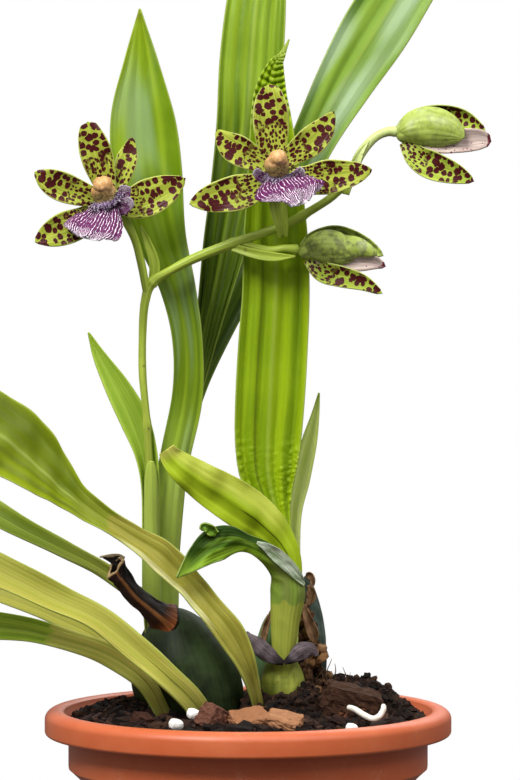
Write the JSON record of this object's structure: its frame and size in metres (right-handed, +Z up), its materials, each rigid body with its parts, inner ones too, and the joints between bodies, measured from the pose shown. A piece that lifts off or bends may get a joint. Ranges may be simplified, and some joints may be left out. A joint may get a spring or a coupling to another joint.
{
  "type": "potted zygopetalum orchid",
  "caption": "Orchid in a round rimmed pot: strap leaves, pseudobulbs in bark mix, and an arching spike with spotted star-shaped blooms and half-open buds.",
  "frame": {"origin": "centre of the pot's flat base, on the surface that it stands on", "axes": "+Z up along the pot's axis; the open blooms look along -Y; the spike's buds reach towards +X"},
  "size_m": [0.3043, 0.147, 0.4381],
  "materials": {
    "terracotta_plastic": "satin moulded plastic, orange terracotta colour",
    "dark_bark_mix": "rough dark bark potting mix",
    "red_bark": "rough red-brown bark",
    "tan_bark": "dry tan bark chip",
    "mauve_bark": "weathered mauve-brown bark chip",
    "perlite": "chalky white perlite",
    "white_root": "smooth white live root",
    "mature_bulb": "smooth dark green, faintly grooved",
    "young_bulb": "fresh light green",
    "dry_stem": "dry dark brown, hollow",
    "papery_bract": "dry papery grey-brown",
    "deep_leaf": "satin green with lengthwise veins",
    "bright_leaf": "bright yellow-green, pleated",
    "pale_leaf": "soft light green",
    "dark_leaf": "dark green, silvery underside",
    "arching_leaf": "green blade on a yellow-green stalk",
    "spike_green": "smooth pale green",
    "spotted_tepal": "yellow-green with maroon blotches",
    "spotted_sepal": "pale green, mottled with maroon",
    "mauve_petal": "pale mauve-pink",
    "veined_lip": "white with radiating purple veins",
    "peach_column": "waxy peach, olive-brown below"
  },
  "bodies": {
    "root": {"bark_large": "red_bark", "bark_mauve": "mauve_bark", "bark_round": "tan_bark", "bark_tan_left": "tan_bark", "bark_tan_right": "tan_bark", "bloom_centre_column": "peach_column", "bloom_centre_lip": "veined_lip", "bloom_centre_tepals": "spotted_tepal", "bloom_left_column": "peach_column", "bloom_left_lip": "veined_lip", "bloom_left_tepals": "spotted_tepal", "bract_back": "papery_bract", "bract_left": "papery_bract", "bract_right": "papery_bract", "bud_lower_petals": "mauve_petal", "bud_lower_sepals": "spotted_sepal", "bud_upper_petals": "mauve_petal", "bud_upper_sepals": "spotted_sepal", "dry_stem_stub": "dry_stem", "flower_spike": "spike_green", "leaf_low_back": "arching_leaf", "leaf_low_front": "arching_leaf", "leaf_low_inner": "arching_leaf", "leaf_low_outer": "arching_leaf", "leaf_low_upper": "arching_leaf", "leaf_pleated": "bright_leaf", "leaf_small_left": "pale_leaf", "leaf_small_right": "pale_leaf", "leaf_tall_centre": "deep_leaf", "leaf_tall_left": "deep_leaf", "leaf_tall_right": "deep_leaf", "leaf_twisted": "dark_leaf", "leaf_young": "bright_leaf", "perlite_centre": "perlite", "perlite_left": "perlite", "perlite_right": "perlite", "pot": "terracotta_plastic", "potting_mix": "dark_bark_mix", "pseudobulb_front": "mature_bulb", "pseudobulb_left": "mature_bulb", "pseudobulb_right": "mature_bulb", "pseudobulb_small": "mature_bulb", "pseudobulb_young": "young_bulb", "root_tip": "white_root"}
  },
  "joints": []
}
